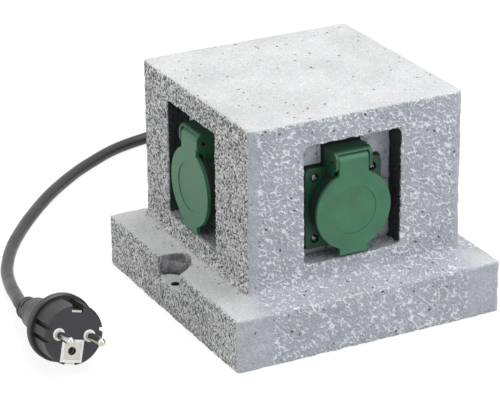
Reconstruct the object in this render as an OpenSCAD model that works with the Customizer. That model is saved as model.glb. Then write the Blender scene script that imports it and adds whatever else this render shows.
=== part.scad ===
// Garden socket in a cast stone block: four lidded earthed sockets, a supply cord and its plug.
// Millimetres, +Z up, the front towards -Y, the origin at the centre of the base's underside.

/* [Stone base] */
// Width and depth of the square base
base_w = 177; // [175:0.5:190]
// Height of the base at its outer edge
base_h = 33.5; // [31:0.5:36]
// Rise of the base's top from its edge to the block
base_rise = 3.5; // [1:0.5:5]
// Radius of the base's upright edges
base_round = 3.5; // [3:0.5:6]
// Bevel round the base's top
base_bevel = 1; // [0.5:0.25:1.5]

/* [Stone block] */
// Width and depth of the block
block_w = 142; // [140:0.5:144]
// Height of the whole object
total_h = 139; // [138:0.5:146]
// Radius of the block's upright edges
block_round = 5; // [5:0.5:10]
// Bevel round the block's top
block_bevel = 1.5; // [0.5:0.25:2.5]
// Thickness of the block's side walls
stone_wall = 16; // [15:0.5:18]
// Thickness of the block's roof
stone_roof = 13; // [8:0.5:15]
// Width of each window
window_w = 63; // [60:0.5:66]
// Height of each window
window_h = 72.5; // [70:0.5:76]
// Radius of the window's corners
window_r = 2.5; // [2:0.5:8]
// Height of the window's centre above the socket's centre
window_up = 7.7; // [6.5:0.1:8.6]
// Sideways place of the front and back sockets
front_shift = -3.2; // [-4:0.1:4]
// Sideways place of the left and right sockets
side_shift = -5; // [-7:0.5:4]

/* [Fixing notches] */
// Radius of the notch in the base's left and right sides
notch_r = 14.3; // [10:0.1:15]
// Place of the notches along Y
notch_y = 2.5; // [-10:0.5:10]
// Height of the notch's floor
notch_floor = 20; // [14:0.5:24]
// Diameter of the fixing screw's hole
fixing_hole_d = 5; // [4:0.1:6]
// Distance of the fixing hole from the base's side
fixing_inset = 5.5; // [4.5:0.5:8]

/* [Hollow and bottom] */
// Width of the ledge that carries the inner box
ledge_w = 6.7; // [5.7:0.1:7.7]
// Height of the ledge that carries the inner box
ledge_z = 24; // [23:0.5:26]
// Width of the ledge above the bottom plate
seal_ledge_w = 10; // [8:0.5:11]
// Thickness of the bottom plate
plate_t = 4; // [3.5:0.5:4.5]
// Height of the bottom plate above the ground
plate_lift = 1; // [0.5:0.5:2]
// Thickness of the bottom plate's seal
plate_seal_t = 1; // [0.5:0.25:2]

/* [Inner box] */
// Thickness of the inner box's walls
box_wall = 3; // [2:0.5:4]
// Thickness of the box's flange
box_flange_t = 3; // [2:0.5:3.5]
// Gap round pieces that drop into the casting
seat_gap = 0.3; // [0.2:0.05:0.5]

/* [Socket] */
// Height of the sockets' centres
socket_z = 78.8; // [78:0.2:80]
// Width and height of the socket's flange
flange_w = 50; // [49:0.5:51]
// Thickness of the flange
flange_t = 3; // [2:0.5:4]
// Distance between the flange's screws
flange_screw_pitch = 38; // [37:0.25:39]
// Thickness of the rubber gasket behind the flange
gasket_t = 1; // [0.5:0.25:2]
// Outer diameter of the collar
collar_d = 45.6; // [45.2:0.1:45.8]
// Diameter of the well that takes the plug
well_d = 39.6; // [38.8:0.1:40]
// Depth of the well
well_depth = 17.5; // [17:0.25:18.5]
// Wall of the insert round the well
insert_wall = 1.5; // [1.2:0.1:1.6]
// Thickness of the well's floor
floor_t = 3; // [2:0.5:4]
// Distance between the plug's pins
pin_pitch = 19; // [18.8:0.1:19.2]
// Diameter of the pin holes in the well's floor
pin_hole_d = 6; // [5.6:0.1:6.4]
// Bore of the contact sleeves
contact_bore_d = 4.9; // [4.9:0.05:5]
// Outer diameter of the contact sleeves
contact_d = 7.3; // [6.8:0.1:7.8]
// Length of the contact sleeves
contact_len = 17.5; // [17:0.1:18]
// Thickness of the earth clip's strip
clip_t = 0.8; // [0.6:0.1:1]
// Width of the earth clip
clip_w = 6; // [5:0.5:7]

/* [Lid and hinge] */
// Diameter of the lid
lid_d = 48.8; // [48.4:0.1:50]
// Thickness of the lid
lid_t = 2.2; // [2:0.1:2.6]
// How far the lid stands out of the stone
lid_proud = 0.6; // [0:0.1:1.2]
// Depth of the seal's outer lip behind the lid
skirt_depth = 3; // [2:0.25:3.5]
// Diameter of the round field on the lid
lid_field_d = 29.6; // [24:0.2:34]
// Thickness of the lid's seal
seal_t = 1; // [0.6:0.1:1.6]
// Width of the finger tab
tab_w = 18; // [12:0.5:22]
// Reach of the finger tab below the lid's centre
tab_reach = 27; // [26:0.1:27.6]
// Height of the hinge above the socket's centre
hinge_up = 30.6; // [30.2:0.1:31]
// Depth of the hinge behind the lid's front
hinge_depth = 4.4; // [4.2:0.1:4.8]
// Diameter of the hinge pin
hinge_pin_d = 3; // [2.6:0.1:3.2]
// Bore of the hollow hinge pin
hinge_pin_bore = 1.6; // [1:0.1:1.8]
// Width of the hinge hood over its cheeks
hood_w = 24; // [23:0.2:26]
// Thickness of the hood's cheeks
cheek_t = 1.9; // [1.6:0.1:2.6]
// Thickness of the hood's roof
hood_roof = 1.5; // [1.2:0.1:1.8]

/* [Cord and plug] */
// Diameter of the cord
cord_d = 8; // [7.6:0.1:8.2]
// Length of the cord boot outside the base
boot_len = 34.5; // [20:0.5:40]
// Diameter of the plug's body at its face
plug_face_d = 36; // [35:0.5:38]
// Diameter of the plug's rim
plug_rim_d = 40.4; // [38.2:0.2:40.8]
// Length of the plug's body
plug_len = 70; // [66:0.5:74]
// Diameter of the plug's pins
plug_pin_d = 4.8; // [4.7:0.05:4.85]
// Length of the plug's pins
plug_pin_len = 19; // [18.5:0.1:19.5]

/* [Hidden] */
$fn = 64;
EPS = 0.01;
SIDES = ["front", "right", "back", "left"];
SIDE_TURN = [0, 90, 180, -90];
SIDE_SHIFT = [front_shift, side_shift, front_shift, side_shift];
LAST_SIDE = len(SIDES) - 1;
SOCKET_PARTS = [
    "socket_body", "socket_insert", "contacts", "earth_clip", "gasket",
    "hinge_pin", "lid_spring", "lid", "lid_seal"
];

// Casting, bottom and inner box
block_half = block_w / 2;
base_half = base_w / 2;
panel_half = block_half - stone_wall;
cavity_half = panel_half + seat_gap;
cavity_top = total_h - stone_roof;
corner_r = 3;
rebate_top = plate_lift + plate_t + plate_seal_t;
hollow_w = 2 * (cavity_half + ledge_w);
rebate_w = hollow_w + 2 * seal_ledge_w;
plate_w = rebate_w - 2 * seat_gap;
plate_screw_at = (hollow_w + rebate_w) / 4;
plate_top = plate_lift + plate_t;
box_top = cavity_top - seat_gap;
box_flange_w = hollow_w - 2 * seat_gap;
box_flange_bottom = ledge_z - box_flange_t;
box_screw_at = (cavity_half + hollow_w / 2) / 2;
fixing_x = base_half - fixing_inset;

// Self-tapping screws of the casting: shank, head, the hole they pass and the hole they bite in
tap_r = 1.35;
tap_head_r = 2.7;
tap_face_r = 2.3;
tap_head_h = 1.8;
tap_hole_r = 1.7;
tap_pilot_r = 1.4;
tap_bite = 10;
head_gap = 0.3;

// Depths behind the stone's face, for every socket
lid_front = -lid_proud;
lid_back = lid_front + lid_t;
seal_gap = 0.2;
collar_front = lid_back + seal_t + seal_gap;
flange_back = stone_wall - gasket_t;
flange_front = flange_back - flange_t;
floor_front = collar_front + well_depth;
floor_back = floor_front + floor_t;
sleeve_back = floor_back + contact_len;
hinge_y = lid_front + hinge_depth;

// Radii and heights round the socket's centre
insert_r = well_d / 2 + insert_wall;
insert_slide = 0.1;
stop_r = insert_r + 1;
stop_t = 2;
through_r = stop_r + seat_gap;
skirt_gap = 0.4;
skirt_r = collar_d / 2 + skirt_gap;
lid_r = lid_d / 2;
flange_corner = 3;
gasket_margin = 1;
flange_tap_r = 1.2;
flange_pilot_r = 1.25;
flange_head_r = 2.5;
flange_head_h = 1.6;
flange_dome_r = 3;
flange_sink_r = 2.9;
flange_sink = 0.8;
flange_tap_len = 12;
cross_w = 0.8;
cross_l = 3;
cross_depth = 0.9;

// Hinge: the knuckle turns inside the hood, round a pin that the cheeks hold
knuckle_r = hinge_depth;
knuckle_gap = 0.3;
pocket_r = knuckle_r + knuckle_gap;
hood_top = hinge_up + pocket_r + hood_roof;
hood_inner_w = hood_w - 2 * cheek_t;
arm_gap = 0.5;
arm_w = hood_inner_w - 2 * arm_gap;
hood_foot = 17;
cheek_r = 4.6;
cheek_drop = 2;
pin_seat_gap = 0.02;
pin_running_gap = 0.05;
spring_wire_r = 0.4;
spring_curls = 6;
spring_pitch = 1.05;
spring_r = hinge_pin_d / 2 + 0.5 + spring_wire_r;
spring_room_r = spring_r + spring_wire_r + 0.6;
spring_room_w = spring_curls * spring_pitch + 1.6;
spring_rings = 8;
spring_sides = 6;

// Contact sleeves, each with a foot against the well's floor, and the earth clip
contact_foot_w = 1.6;
contact_foot_t = 1.5;
contact_end_t = 1;
clip_z = 18.7;
clip_bulge_z = 16.7;
clip_tip = collar_front + 4;
clip_gap = 0.1;
clip_line = [
    [clip_tip, clip_z - 0.2], [clip_tip + 3.5, clip_bulge_z], [clip_tip + 8.5, clip_z],
    [floor_back + clip_gap + clip_t / 2, clip_z]
];

// Terminal block and wiring
wiring_room = 13.2;
riser_gap = 5.4;
terminal_w = 2 * (block_half - sleeve_back - wiring_room);
terminal_h = 16;
terminal_out_z = 12;
terminal_in_z = 4.5;
pole_pitch = 7;
wire_r = 1.1;
wire_sides = 6;
wire_riser = sleeve_back + riser_gap;
core_bend = [[0, 0.7], [0.2, 0.2], [0.7, 0]];
core_spread = 2.4;
core_drop = 0.4;
core_lift = 1.4;
clip_wire_z = -8;
wire_hole_r = 1.3;
wire_hole_depth = 3;
terminal_screw_r = 1.6;
terminal_screw_sink = 5;

// Cord passage, clamp and boot
cord_exit_z = (plate_top + box_flange_bottom) / 2;
cord_fit = 0.1;
cord_hole_r = cord_d / 2 + cord_fit;
boot_wall = 1.8;
passage_r = cord_hole_r + boot_wall + cord_fit;
boot_flange_r = cord_exit_z - plate_top - 0.4;
boot_flange_t = 2.5;
boot_tip_r = cord_hole_r + 1.4;
boot_root_r = 8.2;
clamp_room = 2;
clamp_len = 8;
clamp_y = panel_half - box_wall - clamp_room - clamp_len / 2;
supply_tail = 10;
supply_end_y = clamp_y - supply_tail;
clamp_w = 28;
clamp_screw_x = 9.5;
clamp_bar_t = 6;
clamp_nip = 0.3;

// Free cord: its route from the plug to the coil and from the coil to the boot
cord_sides = 10;
TO_PLUG = [
    [62, 264, 13.8], [54, 264, 13.8], [45, 264, 11.6], [35, 263.6, 7.8], [20, 262.8, 4.8],
    [3, 259.4, 4.1], [-14.4, 252.2, 4.1], [-31, 242, 4.1], [-47, 231, 4.1], [-62, 218.6, 4.1],
    [-76.6, 205.4, 4.1], [-90.4, 191.2, 4.1], [-103.4, 176.4, 4.1], [-116, 161, 4.1], [-127.6, 145.4, 4.1],
    [-138.4, 129, 4.1], [-147, 113, 4.1], [-153.7, 98, 4.1], [-158.3, 83, 4.9], [-161.8, 70, 6.5],
    [-164.3, 59, 8.1], [-166.6, 48, 9.6], [-169.1, 36, 11], [-169, 28, 12.3]
];
TO_COIL = [
    [0, 88.5, 13], [0, 105, 13], [0, 123, 12.8], [2.6, 136, 11.8], [10, 147, 9.8],
    [21, 154.5, 7.6], [34, 157.4, 6], [46, 157.8, 5.3], [54, 157.8, 5.2], [62, 157.8, 5.2]
];

// Coil: two layers that spiral in and out again
coil_centre = [70, 210.9];
coil_turns = 3.5;
coil_start = 90;
coil_outer_r = 53.1;
coil_pitch = 8.5;
coil_rings = 24;
coil_sides = 6;
coil_low_z = 5.2;
coil_step = 8.6;
coil_inner_r = coil_outer_r - coil_pitch * coil_turns / 2;
tie_t = 0.8;
tie_w = 10;
tie_gap = 0.3;
tie_round = 3;

// Plug
plug_at = [-169, 28, 12.3];
plug_turn = 1;
plug_tilt = 9.5;
plug_roll = 15;
rim_t = 5;
rim_back = 48;
rim_front = rim_back + rim_t;
rim_edge = 0.8;
pin_root = 18;
pin_fit = 0.05;
bridge_r = 3.6;
bridge_depth = 4;
bridge_proud = 0.3;
bridge_back = plug_len - bridge_depth;
pin_bore_r = plug_pin_d / 2 + pin_fit;
earth_plate_w = 10.2;
earth_frame = 1.6;
earth_hole_r = 2.45;
earth_down = 9.3;
earth_strip_w = 6;
earth_strip_t = 1.2;
earth_recess_low = 2;
earth_recess_high = 5;
groove_w = 10.4;
groove_depth = 2;
groove_rib = 5;
guide_flat = 17.1;
tail_slot_floor = 6.2;
tail_slot_w = 8;
tail_slot_t = 1.5;
tail_slot_z = 3.5;
tail_slot_pitch = 4.5;
PLUG_TAPER = [
    [0, 0], [6.4, 0], [7.2, 1], [8.2, 14], [9.7, 14.8], [10.5, 21],
    [14.2, 37], [16.8, rim_back - 5], [17.8, rim_back]
];

// Vector helpers
function unit(v) = v / norm(v);
function left_of(v) = [-v[1], v[0]];
function step_at(p, i) = unit(p[i] - p[i - 1]);
function mitre(p, i) =
    let (
        a = left_of(step_at(p, max(i, 1))),
        b = left_of(step_at(p, min(i + 1, len(p) - 1))),
        n = unit(a + b)
    )
    n / (n * a);
function strip(p, t) = concat(
    [for (i = [0 : len(p) - 1]) p[i] + mitre(p, i) * t / 2],
    [for (i = [len(p) - 1 : -1 : 0]) p[i] - mitre(p, i) * t / 2]
);
function heading(p, i) = unit(p[min(i + 1, len(p) - 1)] - p[max(i - 1, 0)]);
function ring(p, i, r, sides, across) =
    let (
        t = heading(p, i),
        s = unit(cross(t, across)),
        u = cross(s, t)
    )
    [for (k = [0 : sides - 1]) let (a = 360 * (k + 0.5) / sides) p[i] + r * (cos(a) * s + sin(a) * u)];
function run(p) = sum([for (i = [1 : len(p) - 1]) norm(p[i] - p[i - 1])]);
function sum(v, i = 0) = i < len(v) ? v[i] + sum(v, i + 1) : 0;

// A closed tube of triangles swept along points; across is a direction that the points never follow
module tube(p, r, sides, across = [0, 0, 1]) {
    last = len(p) - 1;
    walls = [
        for (i = [0 : last - 1], k = [0 : sides - 1])
            let (a = i * sides + k, b = i * sides + (k + 1) % sides)
                each [[a, b, b + sides], [a, b + sides, a + sides]]
    ];
    start = [for (k = [1 : sides - 2]) [0, k + 1, k]];
    end = [for (k = [1 : sides - 2]) [last * sides, last * sides + k, last * sides + k + 1]];
    polyhedron(
        points = [for (i = [0 : last]) each ring(p, i, r, sides, across)],
        faces = [for (f = concat(walls, start, end)) [f[0], f[2], f[1]]]
    );
}

// Shapes that repeat
module rounded_rect(w, h, r) {
    square([w - 2 * r, h], center = true);
    square([w, h - 2 * r], center = true);
    for (sx = [-1, 1], sy = [-1, 1])
        translate([sx * (w / 2 - r), sy * (h / 2 - r)]) circle(r);
}

module slab(w, z0, z1, r) {
    translate([0, 0, z0]) linear_extrude(z1 - z0) rounded_rect(w, w, r);
}

// A square block with round upright edges and a bevel round its top
module bevelled_block(w, h, r, bevel) {
    difference() {
        slab(w, 0, h, r);
        for (turn = [0 : 90 : 270])
            rotate([0, 0, turn]) translate([w / 2, 0, h]) rotate([0, 45, 0])
                cube([bevel * sqrt(2), w + 1, bevel * sqrt(2)], center = true);
    }
}

// A pyramid without its tip
module raised_field(low_w, high_w, z0, z1) {
    outline = [[-low_w / 2, z0], [low_w / 2, z0], [high_w / 2, z1], [-high_w / 2, z1]];
    intersection() {
        rotate([90, 0, 0]) linear_extrude(low_w, center = true) polygon(outline);
        rotate([90, 0, 90]) linear_extrude(low_w, center = true) polygon(outline);
    }
}

module four_corners(at) {
    for (sx = [-1, 1], sy = [-1, 1]) translate([sx * at, sy * at, 0]) children();
}

// Frame of one socket: X along the stone's face, Y into the stone, Z up, the origin on the face
module on_side(i) {
    rotate([0, 0, SIDE_TURN[i]]) translate([SIDE_SHIFT[i], -block_half, socket_z]) children();
}

// An outline in X and Z, between two depths
module plate_y(y0, y1) {
    translate([0, y1, 0]) rotate([90, 0, 0]) linear_extrude(y1 - y0) children();
}

// A round disc between two depths
module disc_y(r, y0, y1) {
    translate([0, y0, 0]) rotate([-90, 0, 0]) cylinder(r = r, h = y1 - y0);
}

// An outline in Y and Z, across the socket's middle
module band_x(w) {
    rotate([90, 0, 90]) linear_extrude(w, center = true) children();
}

module rod_x(r, w) {
    rotate([0, 90, 0]) cylinder(r = r, h = w, center = true);
}

module at_pins() {
    for (sx = [-1, 1]) translate([sx * pin_pitch / 2, 0, 0]) children();
}

module at_flange_screws() {
    for (sx = [-1, 1], sz = [-1, 1])
        translate([sx * flange_screw_pitch / 2, 0, sz * flange_screw_pitch / 2]) children();
}

module at_hinge() {
    translate([0, hinge_y, hinge_up]) children();
}

// Screw with its head downwards, the head's seat at z = 0
module tapping_screw(grip) {
    cylinder(r = tap_r, h = grip + tap_bite);
    difference() {
        translate([0, 0, -tap_head_h]) cylinder(r1 = tap_face_r, r2 = tap_head_r, h = tap_head_h);
        cross_recess(-tap_head_h);
    }
}

module cross_recess(z) {
    for (turn = [0, 90])
        rotate([0, 0, turn]) translate([0, 0, z]) cube([cross_l, cross_w, 2 * cross_depth], center = true);
}

// Casting
module stone_body() {
    color("#b9babb")
    difference() {
        union() {
            bevelled_block(base_w, base_h, base_round, base_bevel);
            raised_field(base_w - 2 * base_round, block_w, base_h - EPS, base_h + base_rise);
            bevelled_block(block_w, total_h, block_round, block_bevel);
        }
        slab(rebate_w, -1, rebate_top, corner_r);
        slab(hollow_w, 0, ledge_z, corner_r);
        slab(2 * cavity_half, ledge_z - EPS, cavity_top, corner_r);
        for (i = [0 : LAST_SIDE])
            on_side(i) translate([0, 0, window_up])
                plate_y(-base_half, stone_wall + 1) rounded_rect(window_w, window_h, window_r);
        for (sx = [-1, 1]) {
            translate([sx * base_half, notch_y, notch_floor]) cylinder(r = notch_r, h = base_h);
            translate([sx * fixing_x, notch_y, -1]) cylinder(d = fixing_hole_d, h = base_h);
        }
        four_corners(plate_screw_at) cylinder(r = tap_pilot_r, h = rebate_top + tap_bite + 1);
        four_corners(box_screw_at) cylinder(r = tap_pilot_r, h = ledge_z + tap_bite + 1);
        translate([0, 0, cord_exit_z]) disc_y(passage_r, 0, base_half + 1);
    }
}

module at_clamp_screws(z) {
    for (sx = [-1, 1]) translate([sx * clamp_screw_x, clamp_y, z]) children();
}

module bottom_plate() {
    color("#3a3c3e")
    difference() {
        union() {
            slab(plate_w, plate_lift, plate_top, corner_r);
            translate([-clamp_w / 2, clamp_y - clamp_len / 2, plate_top - EPS])
                cube([clamp_w, clamp_len, cord_exit_z - clamp_nip - plate_top]);
        }
        four_corners(plate_screw_at) {
            cylinder(r = tap_hole_r, h = plate_top + 1);
            cylinder(r = tap_head_r + head_gap, h = plate_lift + tap_head_h);
        }
        translate([0, 0, cord_exit_z]) disc_y(cord_hole_r, clamp_y - clamp_len, clamp_y + clamp_len);
        at_clamp_screws(plate_lift + 1) cylinder(r = tap_pilot_r, h = cord_exit_z);
    }
}

module bottom_seal() {
    color("#1c1c1c")
    difference() {
        slab(plate_w, plate_top, rebate_top, corner_r);
        slab(hollow_w, 0, rebate_top + 1, corner_r);
        four_corners(plate_screw_at) cylinder(r = tap_hole_r, h = rebate_top + 1);
    }
}

module bottom_screws() {
    color("silver")
    four_corners(plate_screw_at)
        translate([0, 0, plate_lift + tap_head_h]) tapping_screw(rebate_top - plate_lift - tap_head_h);
}

module inner_box() {
    color("#8d8a92")
    difference() {
        union() {
            slab(2 * panel_half, box_flange_bottom, box_top, corner_r);
            slab(box_flange_w, box_flange_bottom, ledge_z, corner_r);
        }
        slab(2 * (panel_half - box_wall), box_flange_bottom - 1, box_top - box_wall, corner_r / 2);
        for (i = [0 : LAST_SIDE])
            on_side(i) {
                disc_y(through_r, flange_back, stone_wall + box_wall + 1);
                at_flange_screws() disc_y(flange_pilot_r, flange_back, stone_wall + box_wall + 1);
            }
        four_corners(box_screw_at) cylinder(r = tap_hole_r, h = ledge_z + 1);
    }
}

module inner_box_screws() {
    color("silver")
    four_corners(box_screw_at) translate([0, 0, box_flange_bottom]) tapping_screw(box_flange_t);
}

// Socket unit
// Side view of the hood: a round nose in front of the hinge pin and a back that meets the flange
module hood_outline() {
    nose_low = hinge_up - cheek_drop;
    nose_high = hood_top - cheek_r;
    translate([hinge_y, nose_low]) circle(cheek_r);
    translate([hinge_y, nose_high]) circle(cheek_r);
    translate([hinge_y - cheek_r, nose_low]) square([cheek_r + 1, nose_high - nose_low]);
    translate([hinge_y, hood_foot]) square([flange_back - hinge_y, hood_top - hood_foot]);
}

// The part of it over the knuckle and behind it
module hood_roof_outline() {
    intersection() {
        hood_outline();
        union() {
            translate([hinge_y, hinge_up]) square([flange_back, hood_top]);
            translate([hinge_y - cheek_r, hood_top - hood_roof]) square([2 * cheek_r, hood_roof]);
        }
    }
}

module flange_outline(margin) {
    rounded_rect(flange_w + 2 * margin, flange_w + 2 * margin, flange_corner);
    translate([0, hood_top / 2]) square([hood_w + 2 * margin, hood_top + 2 * margin], center = true);
}

module socket_body() {
    color("#3f7a5b")
    difference() {
        union() {
            plate_y(flange_front, flange_back) flange_outline(0);
            disc_y(collar_d / 2, collar_front, flange_back);
            for (sx = [-1, 1])
                translate([sx * (hood_w - cheek_t) / 2, 0, 0]) band_x(cheek_t) hood_outline();
            band_x(hood_w) hood_roof_outline();
        }
        disc_y(insert_r + insert_slide, collar_front - 1, flange_back + 1);
        at_hinge() rod_x(pocket_r, hood_inner_w);
        at_hinge() rod_x(hinge_pin_d / 2 + pin_seat_gap, hood_w + 2);
        at_flange_screws() {
            disc_y(tap_hole_r, flange_front - 1, flange_back + 1);
            disc_y(flange_sink_r, flange_front - 1, flange_front + flange_sink);
        }
    }
}

module socket_insert() {
    color("#356b50")
    difference() {
        union() {
            disc_y(insert_r, collar_front, floor_back);
            disc_y(stop_r, flange_back, flange_back + stop_t);
        }
        disc_y(well_d / 2, collar_front - 1, floor_front);
        at_pins() disc_y(pin_hole_d / 2, floor_front - 1, floor_back + 1);
        for (sz = [-1, 1])
            translate([0, 0, sz * clip_z])
                plate_y(floor_front - 1, floor_back + 1)
                    square([clip_w + 2 * clip_gap, clip_t + 2 * clip_gap], center = true);
    }
}

module contacts() {
    color("#c9a54a")
    at_pins()
        difference() {
            union() {
                disc_y(contact_d / 2, floor_back, sleeve_back);
                disc_y(contact_d / 2 + contact_foot_w, floor_back, floor_back + contact_foot_t);
            }
            disc_y(contact_bore_d / 2, floor_back - 1, sleeve_back - contact_end_t);
        }
}

module earth_clip() {
    line = concat(
        clip_line,
        [for (i = [len(clip_line) - 1 : -1 : 0]) [clip_line[i][0], -clip_line[i][1]]]
    );
    color("#c8c4b4") band_x(clip_w) polygon(strip(line, clip_t));
}

module gasket() {
    color("#1c1c1c")
    difference() {
        plate_y(flange_back, stone_wall) flange_outline(gasket_margin);
        disc_y(through_r, flange_back - 1, stone_wall + 1);
        at_flange_screws() disc_y(tap_hole_r, flange_back - 1, stone_wall + 1);
    }
}

module hinge_pin() {
    color("#b08d57")
    at_hinge()
        difference() {
            rod_x(hinge_pin_d / 2, hood_w);
            rod_x(hinge_pin_bore / 2, hood_w + 2);
        }
}

// Torsion spring round the hinge pin
module lid_spring() {
    steps = spring_curls * spring_rings;
    curl = [
        for (i = [0 : steps])
            let (a = -90 + 360 * i / spring_rings, x = spring_pitch * (i / spring_rings - spring_curls / 2))
                [x, spring_r * cos(a), spring_r * sin(a)]
    ];
    color("silver") at_hinge() tube(curl, spring_wire_r, spring_sides, [1, 0, 0]);
}

module lid_outline() {
    circle(lid_r);
    translate([0, hinge_up / 2]) square([arm_w, hinge_up], center = true);
    translate([0, -tab_reach / 2]) square([tab_w, tab_reach], center = true);
}

module lid() {
    field_step = 0.4;
    color("#4a8262")
    difference() {
        union() {
            plate_y(lid_front, lid_back) lid_outline();
            at_hinge() rod_x(knuckle_r, arm_w);
        }
        disc_y(lid_field_d / 2, lid_front - 1, lid_front + field_step);
        at_hinge() rod_x(hinge_pin_d / 2 + pin_running_gap, arm_w + 1);
        at_hinge() rod_x(spring_room_r, spring_room_w);
    }
}

// Rubber behind the lid: a flat ring on the collar's end and a lip round the collar, open at the hood
module lid_seal() {
    back = lid_back + skirt_depth;
    color("#1c1c1c")
    difference() {
        disc_y(lid_r, lid_back, back);
        disc_y(well_d / 2 + seal_gap, lid_back - 1, back + 1);
        disc_y(skirt_r, lid_back + seal_t, back + 1);
        translate([-hood_w / 2 - skirt_gap, lid_back + seal_t, 0])
            cube([hood_w + 2 * skirt_gap, skirt_depth + 1, lid_d]);
    }
}

module flange_screws() {
    seat = flange_front + flange_sink;
    color("#8f9296")
    for (i = [0 : LAST_SIDE])
        on_side(i) at_flange_screws()
            difference() {
                union() {
                    disc_y(flange_tap_r, seat - EPS, seat + flange_tap_len);
                    intersection() {
                        disc_y(flange_head_r, seat - flange_head_h, seat);
                        translate([0, seat + flange_dome_r - flange_head_h, 0]) sphere(flange_dome_r);
                    }
                }
                translate([0, seat - flange_head_h, 0]) rotate([90, 0, 0]) cross_recess(0);
            }
}

// Wiring: a block in the middle, with three poles on each side
module terminal_block() {
    top = plate_top + terminal_h;
    color("#e6e2d4")
    difference() {
        slab(terminal_w, plate_top, top, 2);
        for (i = [0 : LAST_SIDE], pole = [-1 : 1])
            rotate([0, 0, SIDE_TURN[i]]) translate([pole * pole_pitch, -terminal_w / 2, plate_top]) {
                translate([0, 0, terminal_out_z]) disc_y(wire_hole_r, -1, wire_hole_depth);
                translate([0, wire_hole_depth + terminal_screw_r, terminal_h - terminal_screw_sink])
                    cylinder(r = terminal_screw_r + cord_fit, h = terminal_h);
            }
        for (pole = [-1 : 1])
            rotate([0, 0, 180]) translate([pole * pole_pitch, -terminal_w / 2, plate_top + terminal_in_z])
                disc_y(wire_hole_r, -1, wire_hole_depth);
    }
}

module terminal_screws() {
    seat = plate_top + terminal_h - terminal_screw_sink;
    color("#c9a54a")
    for (i = [0 : LAST_SIDE], pole = [-1 : 1])
        rotate([0, 0, SIDE_TURN[i]])
            translate([pole * pole_pitch, wire_hole_depth + terminal_screw_r - terminal_w / 2, seat])
                difference() {
                    cylinder(r = terminal_screw_r, h = terminal_screw_sink - 1);
                    translate([0, 0, terminal_screw_sink - 1])
                        cube([2 * cross_l, cross_w, 1], center = true);
                }
}

// A core from the block's pole to a place behind the socket of side i
module socket_core(i, pole, x, y, z) {
    px = pole * pole_pitch;
    block_y = wire_hole_depth - terminal_w / 2 - cord_fit;
    out_z = plate_top + terminal_out_z;
    ex = SIDE_SHIFT[i] + x;
    riser_y = wire_riser - block_half;
    end_y = y - block_half;
    end_z = socket_z + z;
    reach = riser_y - end_y;
    rotate([0, 0, SIDE_TURN[i]])
        tube([
            [px, block_y, out_z], [px, -terminal_w / 2 - 1.5, out_z],
            [(px + ex) / 2, riser_y + 1, out_z + 3], [ex, riser_y, out_z + 12],
            each [for (b = core_bend) [ex, riser_y - reach * b[0], end_z - reach * b[1]]],
            [ex, end_y, end_z]
        ], wire_r, wire_sides, [1, 0, 0]);
}

// A core of the supply cord, from its cut end to the back of the block
module supply_core(pole, x, z) {
    px = pole * pole_pitch;
    in_z = plate_top + terminal_in_z;
    block_y = terminal_w / 2;
    middle = [(x + px) / 2, (supply_end_y + block_y) / 2, (z + in_z) / 2];
    tube([
        [x, supply_end_y, z], [x, supply_end_y - 3, z], middle,
        [px, block_y + 3, in_z], [px, block_y - wire_hole_depth + cord_fit, in_z]
    ], wire_r, wire_sides);
}

module live_wires() {
    color("#6b3f25") {
        for (i = [0 : LAST_SIDE]) socket_core(i, -1, -pin_pitch / 2, sleeve_back, 0);
        supply_core(-1, -core_spread, cord_exit_z - core_drop);
    }
}

module neutral_wires() {
    color("#2f62a8") {
        for (i = [0 : LAST_SIDE]) socket_core(i, 1, pin_pitch / 2, sleeve_back, 0);
        supply_core(1, core_spread, cord_exit_z - core_drop);
    }
}

module earth_wires() {
    color("#7fae3a") {
        for (i = [0 : LAST_SIDE]) socket_core(i, 0, 0, floor_back + clip_gap + clip_t, clip_wire_z);
        supply_core(0, 0, cord_exit_z + core_lift);
    }
}

// Cord: its end inside, its clamp and its boot
module supply_cord() {
    color("#4a4c4b") translate([0, 0, cord_exit_z]) disc_y(cord_d / 2, supply_end_y, base_half);
}

module cord_clamp() {
    color("#3a3c3e")
    difference() {
        translate([-clamp_w / 2, clamp_y - clamp_len / 2, cord_exit_z + clamp_nip])
            cube([clamp_w, clamp_len, clamp_bar_t]);
        translate([0, 0, cord_exit_z]) disc_y(cord_hole_r, clamp_y - clamp_len, clamp_y + clamp_len);
        at_clamp_screws(0) cylinder(r = tap_hole_r, h = 2 * cord_exit_z);
    }
}

module cord_clamp_screws() {
    color("silver")
    at_clamp_screws(cord_exit_z + clamp_nip + clamp_bar_t) mirror([0, 0, 1]) tapping_screw(clamp_bar_t);
}

module cord_boot() {
    wall_y = hollow_w / 2;
    color("#2b2c2c") translate([0, 0, cord_exit_z]) rotate([-90, 0, 0])
        rotate_extrude() polygon([
            [cord_hole_r, wall_y - boot_flange_t], [boot_flange_r, wall_y - boot_flange_t],
            [boot_flange_r, wall_y], [passage_r - cord_fit, wall_y],
            [passage_r - cord_fit, base_half], [boot_root_r, base_half], [boot_root_r, base_half + 3],
            [boot_tip_r, base_half + boot_len], [cord_hole_r, base_half + boot_len]
        ]);
}

module cord_to_coil() {
    color("#4a4c4b") tube(TO_COIL, cord_d / 2, cord_sides);
}

module cord_to_plug() {
    color("#4a4c4b") tube(TO_PLUG, cord_d / 2, cord_sides);
}

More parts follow.
